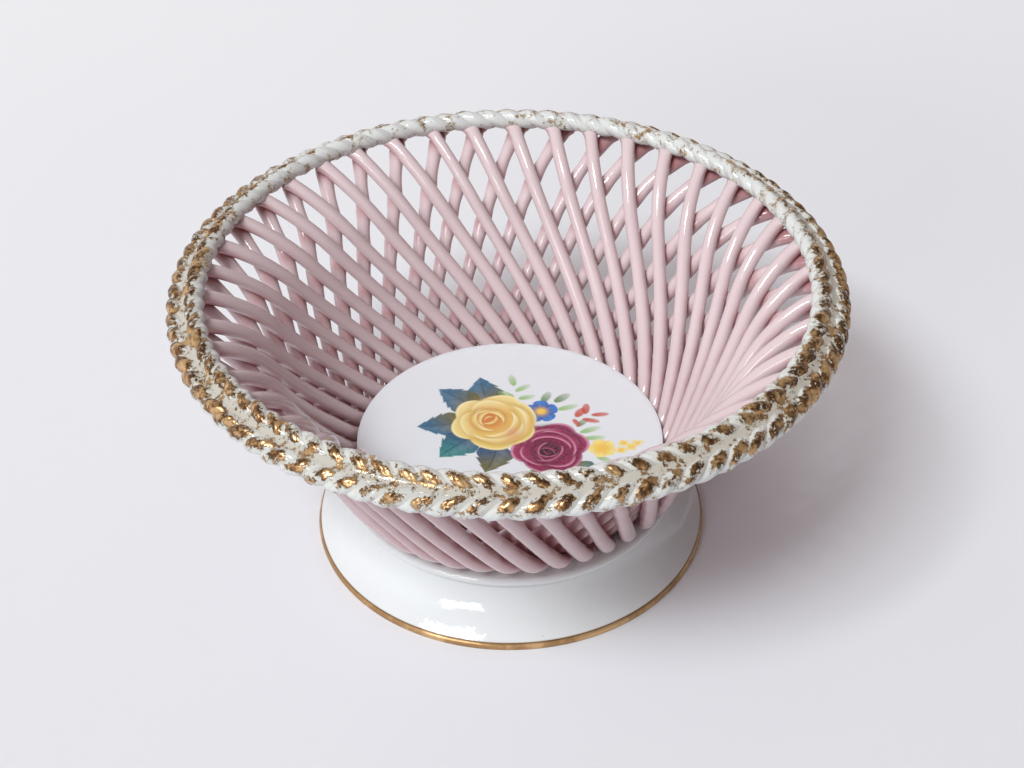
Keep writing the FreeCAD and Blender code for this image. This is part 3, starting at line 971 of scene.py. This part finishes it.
def make_foot():
    """Hollow flared pedestal: a bead under the rods, a hollow flare, a rounded base, a closed top."""
    waist = (FOOT_WAIST_RADIUS, FOOT_TOP - FOOT_BEAD_HEIGHT)
    bead_top = (FOOT_WAIST_RADIUS, FOOT_TOP)
    reach = FOOT_RADIUS + FOOT_GLAZE
    edge = (reach - FOOT_EDGE_INSET, FOOT_EDGE_HEIGHT)
    ceiling = FOOT_TOP - FOOT_PLATE
    shoulder = (FOOT_WAIST_RADIUS - FOOT_WALL, ceiling - FOOT_CHAMFER)
    corners = [(AXIS_RADIUS, FOOT_TOP), bead_top]
    corners += bow(bead_top, waist, -FOOT_BEAD_DEPTH, FOOT_BEAD_ROWS).tolist()
    corners += bow(waist, edge, FOOT_WAIST_HOLLOW, FOOT_FLARE_ROWS).tolist()
    corners += [(reach, FOOT_SIDE_HEIGHT), (reach, 0), (reach - FOOT_REST_WIDTH, 0)]
    corners += [shoulder, (shoulder[0] - FOOT_CHAMFER, ceiling), (AXIS_RADIUS, ceiling)]
    points = lathe(soft_outline(corners, FOOT_SOFTNESS, FOOT_ROW_LENGTH, FOOT_ROW_BEND), FOOT_COLS)
    radius = np.hypot(points[..., 0], points[..., 1])
    height = points[..., 2]
    outside = smooth(radius, *(reach - inset for inset in GOLD_LINE_INSETS))
    band = smooth_about(height, *GOLD_LINE_LOW) * (1 - smooth_about(height, *GOLD_LINE_HIGH))
    bare = (1 - smooth(height, *BARE_HEIGHTS)) * (radius > FOOT_RADIUS / 2)
    mesh = skin_mesh("glazed_foot", points, gilt=band * outside, bare=bare)
    piece(mesh, gilded_glaze("white_glaze", **FOOT_GILDING), ["pedestal_foot"])


def make_floor():
    """Floor disc: a flat painted top, a rounded lip, and an underside that curves up to it."""
    plain = np.linspace(PLAIN_START, FLOOR_RADIUS - PLAIN_END_INSET, PLAIN_ROWS)
    radius = np.concatenate([np.arange(PAINT_START, PAINT_END, PAINT_STEP), plain])
    top = np.stack([radius, np.full(len(radius), FLOOR_TOP)], 1)
    lip = [(FLOOR_RADIUS - inset, FLOOR_TOP - below) for inset, below in LIP_TOP]
    lip += [(FLOOR_RADIUS - inset, FLOOR_UNDERSIDE + above) for inset, above in LIP_UNDER]
    lip.append((AXIS_RADIUS, FLOOR_UNDERSIDE))
    lip = soft_outline(lip, LIP_SOFTNESS, LIP_ROW_LENGTH, LIP_ROW_BEND)
    points = lathe(np.concatenate([top, lip]), FLOOR_COLS)
    paint = paint_spray(points[..., 0], points[..., 1])
    under = points[..., 2] < FLOOR_TOP - PAINTED_DEPTH
    paint[under] = WHITE
    mesh = skin_mesh("painted_floor", points, paint=paint)
    piece(mesh, painted_glaze(), ["floor_disc"])


def make_rods():
    """Both layers of rods, a piece for each CAD node."""
    material = pink_glaze()
    ropes = {"inner": INNER_ROPE, "outer": OUTER_ROPE}
    for seed, (name, layer) in enumerate(LAYERS.items()):
        other = LAYERS["outer" if name == "inner" else "inner"]
        line = layer_line(layer["offset"], ropes[name]["ring"], ropes[name]["height"])
        facing = 1 if name == "inner" else -1
        points, pool = rod_layer(layer, other, line, facing, seed)
        for first in range(0, RODS_PER_LAYER, RODS_PER_NODE):
            node = "%s_rods_%02d" % (name, first // RODS_PER_NODE + 1)
            some = slice(first, first + RODS_PER_NODE)
            mesh = skin_mesh("glazed_" + node, points[some], pool=pool[some])
            piece(mesh, material, [node])


def make_ropes():
    """The rim's two ropes, of two strands each, and the glaze between them."""
    material = gilded_glaze("gilded_rope_glaze", **ROPE_GILDING)
    ropes = (("inner_rope", INNER_ROPE, -1, -ROPE_TILT, 0.0),
             ("outer_rope", OUTER_ROPE, 1, math.pi - ROPE_TILT, OUTER_ROPE_TALL_SHARE))
    for name, rope, twist, first, tall in ropes:
        for letter, turn in (("a", 0.0), ("b", math.pi)):
            node = "%s_strand_%s" % (name, letter)
            points, gilt, wash = rope_strand(rope, twist, first + turn, tall, ord(letter))
            mesh = skin_mesh("gilded_" + node, points, True, gilt=gilt, wash=wash)
            piece(mesh, material, [node])
    points = rope_gutter(INNER_ROPE, OUTER_ROPE)
    every = np.ones(points.shape[:3])
    marks = dict(gilt=GUTTER_GILT * every, wash=WASH_IN_GUTTER * every)
    mesh = skin_mesh("rope_gutter_glaze", points, True, **marks)
    piece(mesh, material, [])


make_foot()
make_floor()
make_rods()
make_ropes()
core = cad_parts["core_disc"]
core.data.materials.clear()
core.data.materials.append(bisque())


# Table, lamps, world and camera
def make_table():
    """Pale table that the bowl stands on, painted lighter towards the left as painted light. Its far part
    is as white as the world.
    """
    corners = [(x * TABLE_HALF, y * TABLE_HALF, 0) for x, y in ((-1, -1), (1, -1), (1, 1), (-1, 1))]
    mesh = bpy.data.meshes.new("table_top")
    mesh.from_pydata(corners, [], [(0, 1, 2, 3)])
    material, tree, shader = new_material("pale_table")
    apart = add(tree, "ShaderNodeSeparateXYZ", {0: place_on(tree)}).outputs
    # Painted light: the colour lightens towards the back and the left
    away = work(tree, "MULTIPLY_ADD", apart["X"], TABLE_PAINTED_LIGHT_SLANT, apart["Y"])
    spots = mixed(tree, noise(tree, 6.0), srgb(226, 226, 232), srgb(232, 232, 237))
    colour = mixed(tree, rise(tree, away, *TABLE_PAINTED_LIGHT), spots, srgb(251, 251, 254))
    feed(tree, shader, {"Base Color": colour, "Roughness": TABLE_ROUGHNESS})
    mesh.materials.append(material)
    table = put(mesh)


def make_lamps():
    """Two wide soft panes, one above the other, as of one window to the front left."""
    for name, (round_left, up, width, height, watts) in LAMPS.items():
        round_left, up = math.radians(round_left), math.radians(up)
        level = math.cos(up)
        towards = Vector((-math.sin(round_left) * level, -math.cos(round_left) * level, math.sin(up)))
        data = bpy.data.lights.new(name, "AREA")
        data.shape = "RECTANGLE"
        data.size = width
        data.size_y = height
        data.energy = watts
        data.color = LAMP_COLOUR
        lamp = put(data)
        lamp.location = towards * LAMP_DISTANCE
        lamp.rotation_euler = towards.to_track_quat("Z", "Y").to_euler()


def make_world():
    """Pale surroundings that light the bowl mostly from above and from the left.

    Camera, mirror and glass see them white near the table and darker above, and mirrors see
    them darker at the right too.
    """
    world = bpy.data.worlds.new("studio")
    world.use_nodes = True
    tree = world.node_tree
    tree.nodes.clear()
    path = add(tree, "ShaderNodeLightPath").outputs
    seen = work(tree, "MAXIMUM", path["Is Camera Ray"], path["Is Transmission Ray"])
    seen = work(tree, "MAXIMUM", seen, path["Is Glossy Ray"])
    way = add(tree, "ShaderNodeTexCoord").outputs["Generated"]
    apart = add(tree, "ShaderNodeSeparateXYZ", {0: way}).outputs
    up = apart["Z"]
    backdrop = rise(tree, up, *SKY_HEIGHTS, 1.0, SKY_LEVEL)
    shade = rise(tree, apart["X"], 0.0, DARK_SIDE_REACH, 0.0, 1 - DARK_SIDE)
    shade = times(tree, path["Is Glossy Ray"], shade)
    backdrop = times(tree, backdrop, work(tree, "SUBTRACT", 1.0, shade))
    soft = work(tree, "MULTIPLY_ADD", work(tree, "MAXIMUM", up, 0.0), WORLD_RISE, WORLD_LOW)
    soft = times(tree, soft, work(tree, "MULTIPLY_ADD", apart["X"], -WORLD_SIDE, 1.0))
    level = times(tree, seen, work(tree, "SUBTRACT", backdrop, soft))
    colour = mixed(tree, seen, WORLD_COLOUR, BACKDROP_COLOUR)
    strength = work(tree, "ADD", level, soft)
    back = add(tree, "ShaderNodeBackground", {"Color": colour, "Strength": strength})
    add(tree, "ShaderNodeOutputWorld", {"Surface": back.outputs[0]})
    bpy.context.scene.world = world


def make_camera():
    """Camera at the photograph's place, turned by its roll."""
    forward = Vector(CAMERA_FORWARD).normalized()
    right = forward.cross(Vector((0, 0, 1))).normalized()
    turned = Matrix((right, right.cross(forward), -forward)).transposed().to_4x4()
    turned = turned @ Matrix.Rotation(math.radians(CAMERA_ROLL), 4, "Z")
    data = bpy.data.cameras.new("camera")
    data.lens = CAMERA_LENS
    camera = put(data)
    camera.matrix_world = Matrix.Translation(Vector(CAMERA_PLACE) * MM) @ turned
    bpy.context.scene.camera = camera


make_table()
make_lamps()
make_world()
make_camera()
bpy.context.scene.view_settings.view_transform = "Standard"

bpy.context.view_layer.update()
